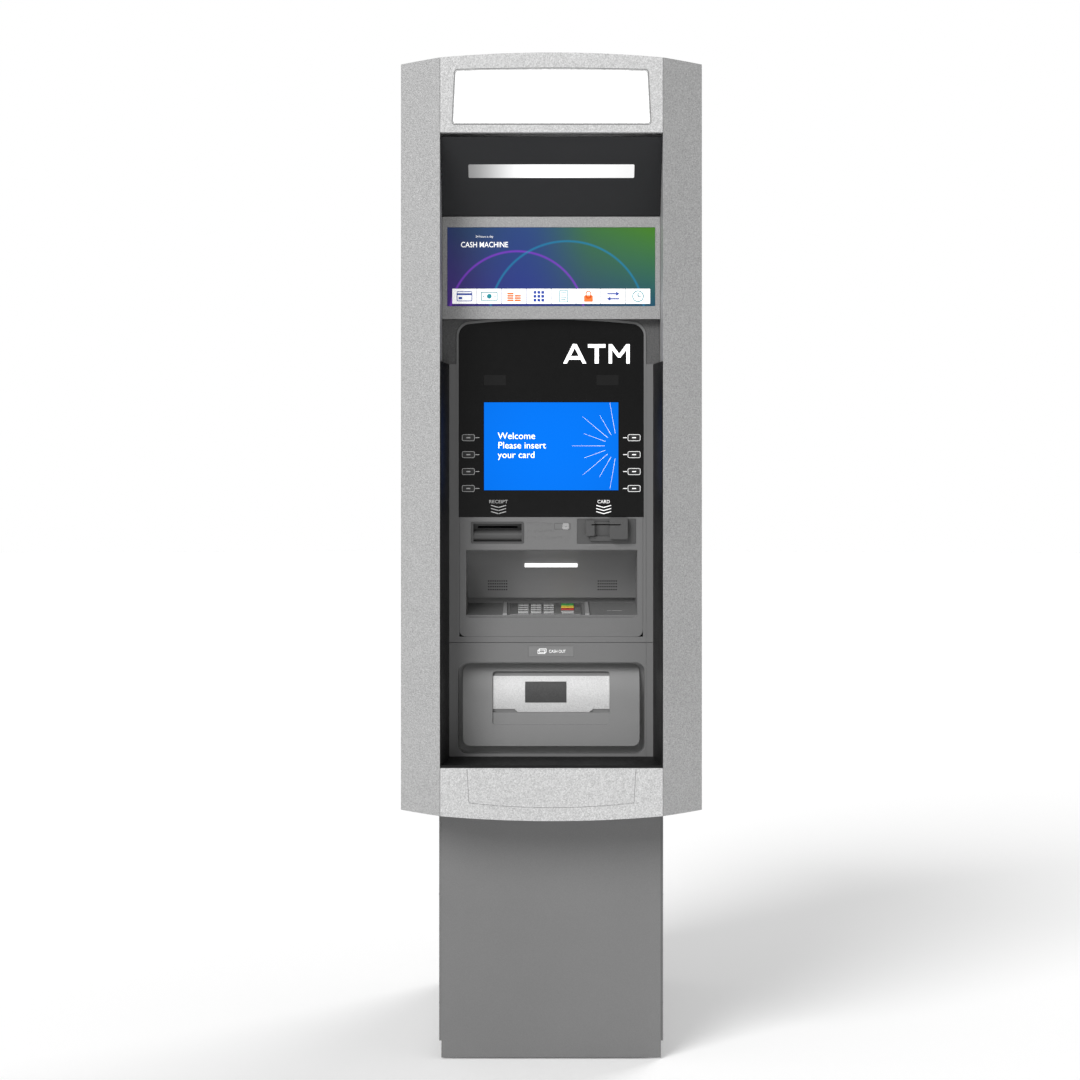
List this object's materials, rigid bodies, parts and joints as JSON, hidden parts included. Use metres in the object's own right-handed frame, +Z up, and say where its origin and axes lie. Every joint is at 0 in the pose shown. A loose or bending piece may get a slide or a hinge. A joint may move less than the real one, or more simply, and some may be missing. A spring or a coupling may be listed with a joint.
{
  "type": "automated teller machine",
  "caption": "Tall free-standing cash machine: arched silver surround, lit header, screen with side keys, shielded keypad, card, receipt and cash mouths, grey cabinet over a safe.",
  "frame": {"origin": "on the floor, in the middle of the machine's width and depth", "axes": "+Z up, the front faces -Y, +X is on the customer's right"},
  "size_m": [0.6486, 1.0545, 2.191],
  "materials": {
    "silver_paint": "sand-textured silver powder coat",
    "lit_acrylic": "opal, lit from behind",
    "dark_paint": "satin charcoal",
    "printed_film": "printed film behind clear acrylic",
    "black_plastic": "fine texture",
    "grey_moulding": "fine satin texture",
    "black_gloss": "gloss",
    "display": "lit blue screen",
    "charcoal_moulding": "satin",
    "plated_metal": "bright",
    "steel_plate": "brushed",
    "steel_key": "satin",
    "green_key": "satin",
    "yellow_key": "satin",
    "red_key": "satin",
    "grey_paint": "satin powder coat",
    "safe_paint": "satin enamel",
    "bright_steel": "machined",
    "foot_rubber": "matte",
    "zinc_sheet": "zinc plated sheet",
    "cassette_plastic": "textured"
  },
  "bodies": {
    "machine": {"advert_frame": "silver_paint", "advert_panel": "printed_film", "alcove_liner": "black_plastic", "cabinet_shell": "grey_paint", "card_reader": "charcoal_moulding", "cash_dispenser": "zinc_sheet", "cash_fascia": "grey_moulding", "display_module": "display", "footer_cover": "silver_paint", "footer_panel": "silver_paint", "front_cover": "grey_paint", "header_light_window": "lit_acrylic", "header_panel": "silver_paint", "headphone_jack": "plated_metal", "keypad_body": "steel_plate", "keypad_lamp": "lit_acrylic", "keypad_panel": "grey_moulding", "levelling_feet": "foot_rubber", "lower_fascia": "grey_moulding", "receipt_chute": "charcoal_moulding", "receipt_printer": "black_plastic", "safe_body": "safe_paint", "screen_bezel": "black_gloss", "soffit_lamp": "lit_acrylic", "soffit_panel": "dark_paint", "upper_frame": "grey_moulding", "wing_left": "silver_paint", "wing_right": "silver_paint"},
    "key_0": {"key_0": "steel_key"},
    "key_1": {"key_1": "steel_key"},
    "key_2": {"key_2": "steel_key"},
    "key_3": {"key_3": "steel_key"},
    "key_4": {"key_4": "steel_key"},
    "key_5": {"key_5": "steel_key"},
    "key_6": {"key_6": "steel_key"},
    "key_7": {"key_7": "steel_key"},
    "key_8": {"key_8": "steel_key"},
    "key_9": {"key_9": "steel_key"},
    "key_star": {"key_star": "steel_key"},
    "key_hash": {"key_hash": "steel_key"},
    "key_enter": {"key_enter": "green_key"},
    "key_clear": {"key_clear": "yellow_key"},
    "key_cancel": {"key_cancel": "red_key"},
    "key_blank": {"key_blank": "steel_key"},
    "function_key_left_1": {"function_key_left_1": "black_gloss"},
    "function_key_left_2": {"function_key_left_2": "black_gloss"},
    "function_key_left_3": {"function_key_left_3": "black_gloss"},
    "function_key_left_4": {"function_key_left_4": "black_gloss"},
    "function_key_right_1": {"function_key_right_1": "black_gloss"},
    "function_key_right_2": {"function_key_right_2": "black_gloss"},
    "function_key_right_3": {"function_key_right_3": "black_gloss"},
    "function_key_right_4": {"function_key_right_4": "black_gloss"},
    "shutter": {"cash_shutter": "silver_paint"},
    "rear_door": {"rear_door": "grey_paint"},
    "rear_lock": {"rear_door_lock": "bright_steel"},
    "safe_door": {"safe_door": "safe_paint"},
    "bolts": {"safe_bolts": "bright_steel"},
    "handle": {"safe_handle": "bright_steel"},
    "dial": {"combination_dial": "bright_steel"},
    "cassette": {"cash_cassette": "cassette_plastic"}
  },
  "joints": [
    {"name": "key_0_press", "type": "slide", "parent": "machine", "child": "key_0", "axis": [0, 0.1822, -0.9833], "range_m": [0, 0.002], "stiffness_N_per_m": 500},
    {"name": "key_1_press", "type": "slide", "parent": "machine", "child": "key_1", "axis": [0, 0.1822, -0.9833], "range_m": [0, 0.002], "stiffness_N_per_m": 500},
    {"name": "key_2_press", "type": "slide", "parent": "machine", "child": "key_2", "axis": [0, 0.1822, -0.9833], "range_m": [0, 0.002], "stiffness_N_per_m": 500},
    {"name": "key_3_press", "type": "slide", "parent": "machine", "child": "key_3", "axis": [0, 0.1822, -0.9833], "range_m": [0, 0.002], "stiffness_N_per_m": 500},
    {"name": "key_4_press", "type": "slide", "parent": "machine", "child": "key_4", "axis": [0, 0.1822, -0.9833], "range_m": [0, 0.002], "stiffness_N_per_m": 500},
    {"name": "key_5_press", "type": "slide", "parent": "machine", "child": "key_5", "axis": [0, 0.1822, -0.9833], "range_m": [0, 0.002], "stiffness_N_per_m": 500},
    {"name": "key_6_press", "type": "slide", "parent": "machine", "child": "key_6", "axis": [0, 0.1822, -0.9833], "range_m": [0, 0.002], "stiffness_N_per_m": 500},
    {"name": "key_7_press", "type": "slide", "parent": "machine", "child": "key_7", "axis": [0, 0.1822, -0.9833], "range_m": [0, 0.002], "stiffness_N_per_m": 500},
    {"name": "key_8_press", "type": "slide", "parent": "machine", "child": "key_8", "axis": [0, 0.1822, -0.9833], "range_m": [0, 0.002], "stiffness_N_per_m": 500},
    {"name": "key_9_press", "type": "slide", "parent": "machine", "child": "key_9", "axis": [0, 0.1822, -0.9833], "range_m": [0, 0.002], "stiffness_N_per_m": 500},
    {"name": "key_star_press", "type": "slide", "parent": "machine", "child": "key_star", "axis": [0, 0.1822, -0.9833], "range_m": [0, 0.002], "stiffness_N_per_m": 500},
    {"name": "key_hash_press", "type": "slide", "parent": "machine", "child": "key_hash", "axis": [0, 0.1822, -0.9833], "range_m": [0, 0.002], "stiffness_N_per_m": 500},
    {"name": "key_enter_press", "type": "slide", "parent": "machine", "child": "key_enter", "axis": [0, 0.1822, -0.9833], "range_m": [0, 0.002], "stiffness_N_per_m": 500},
    {"name": "key_clear_press", "type": "slide", "parent": "machine", "child": "key_clear", "axis": [0, 0.1822, -0.9833], "range_m": [0, 0.002], "stiffness_N_per_m": 500},
    {"name": "key_cancel_press", "type": "slide", "parent": "machine", "child": "key_cancel", "axis": [0, 0.1822, -0.9833], "range_m": [0, 0.002], "stiffness_N_per_m": 500},
    {"name": "key_blank_press", "type": "slide", "parent": "machine", "child": "key_blank", "axis": [0, 0.1822, -0.9833], "range_m": [0, 0.002], "stiffness_N_per_m": 500},
    {"name": "function_key_left_1_press", "type": "slide", "parent": "machine", "child": "function_key_left_1", "axis": [0, 1, 0], "range_m": [0, 0.0015], "stiffness_N_per_m": 600},
    {"name": "function_key_left_2_press", "type": "slide", "parent": "machine", "child": "function_key_left_2", "axis": [0, 1, 0], "range_m": [0, 0.0015], "stiffness_N_per_m": 600},
    {"name": "function_key_left_3_press", "type": "slide", "parent": "machine", "child": "function_key_left_3", "axis": [0, 1, 0], "range_m": [0, 0.0015], "stiffness_N_per_m": 600},
    {"name": "function_key_left_4_press", "type": "slide", "parent": "machine", "child": "function_key_left_4", "axis": [0, 1, 0], "range_m": [0, 0.0015], "stiffness_N_per_m": 600},
    {"name": "function_key_right_1_press", "type": "slide", "parent": "machine", "child": "function_key_right_1", "axis": [0, 1, 0], "range_m": [0, 0.0015], "stiffness_N_per_m": 600},
    {"name": "function_key_right_2_press", "type": "slide", "parent": "machine", "child": "function_key_right_2", "axis": [0, 1, 0], "range_m": [0, 0.0015], "stiffness_N_per_m": 600},
    {"name": "function_key_right_3_press", "type": "slide", "parent": "machine", "child": "function_key_right_3", "axis": [0, 1, 0], "range_m": [0, 0.0015], "stiffness_N_per_m": 600},
    {"name": "function_key_right_4_press", "type": "slide", "parent": "machine", "child": "function_key_right_4", "axis": [0, 1, 0], "range_m": [0, 0.0015], "stiffness_N_per_m": 600},
    {"name": "shutter_lift", "type": "hinge", "parent": "machine", "child": "shutter", "pos_m": [0, -0.255, 0.79], "axis": [-1, 0, 0], "range_deg": [0, 13]},
    {"name": "rear_door_hinge", "type": "hinge", "parent": "machine", "child": "rear_door", "pos_m": [0.2535, 0.509, 1.4], "axis": [0, 0, -1], "range_deg": [0, 110]},
    {"name": "rear_lock_turn", "type": "hinge", "parent": "rear_door", "child": "rear_lock", "pos_m": [-0.213, 0.51, 1.4], "axis": [0, -1, 0], "range_deg": [0, 90]},
    {"name": "safe_door_hinge", "type": "hinge", "parent": "machine", "child": "safe_door", "pos_m": [0.244, 0.467, 0.5], "axis": [0, 0, -1], "range_deg": [0, 110]},
    {"name": "bolts_throw", "type": "slide", "parent": "safe_door", "child": "bolts", "axis": [-1, 0, 0], "range_m": [0, 0.018]},
    {"name": "handle_turn", "type": "hinge", "parent": "safe_door", "child": "handle", "pos_m": [-0.07, 0.47, 0.52], "axis": [0, 1, 0], "range_deg": [0, 60]},
    {"name": "dial_turn", "type": "hinge", "parent": "safe_door", "child": "dial", "pos_m": [0.04, 0.47, 0.62], "axis": [0, 1, 0], "continuous": true},
    {"name": "cassette_slide", "type": "slide", "parent": "machine", "child": "cassette", "axis": [0, 1, 0], "range_m": [0, 0.45]}
  ],
  "couplings": [
    {"joint": "bolts_throw", "follows": "handle_turn", "m_per_rad": 0.017187},
    {"joint": "cassette_slide", "follows": "safe_door_hinge", "m_per_rad": 0.23437}
  ]
}
